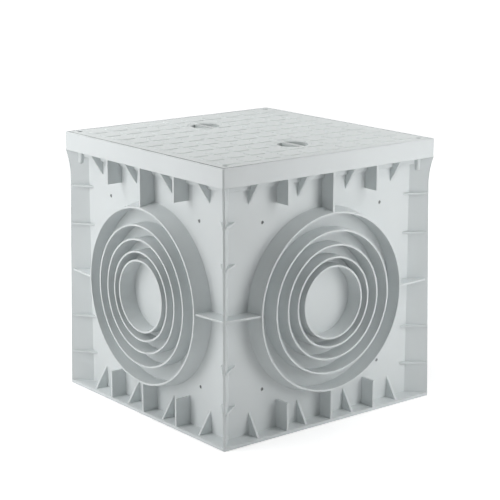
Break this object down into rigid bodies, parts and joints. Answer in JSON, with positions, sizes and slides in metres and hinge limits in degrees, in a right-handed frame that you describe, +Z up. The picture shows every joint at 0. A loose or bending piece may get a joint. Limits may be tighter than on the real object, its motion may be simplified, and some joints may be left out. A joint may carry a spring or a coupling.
{
  "type": "drain inspection chamber",
  "caption": "Square plastic drain inspection chamber with graded round pipe knock-outs on its sides and a ribbed cover that lifts out of the rim.",
  "frame": {"origin": "middle of the underside of the base, on the ground", "axes": "+Z up through the cover; +X and +Y square to the side walls; both lifting recesses lie along Y"},
  "size_m": [0.404, 0.404, 0.4047],
  "materials": {
    "body_plastic": "satin moulded polypropylene, light grey",
    "cover_plastic": "satin moulded polypropylene, light grey, with raised square anti-slip pads",
    "screw_steel": "zinc-plated"
  },
  "bodies": {
    "root": {"chamber_body": "body_plastic", "cover": "cover_plastic", "cover_screws": "screw_steel"}
  },
  "joints": []
}
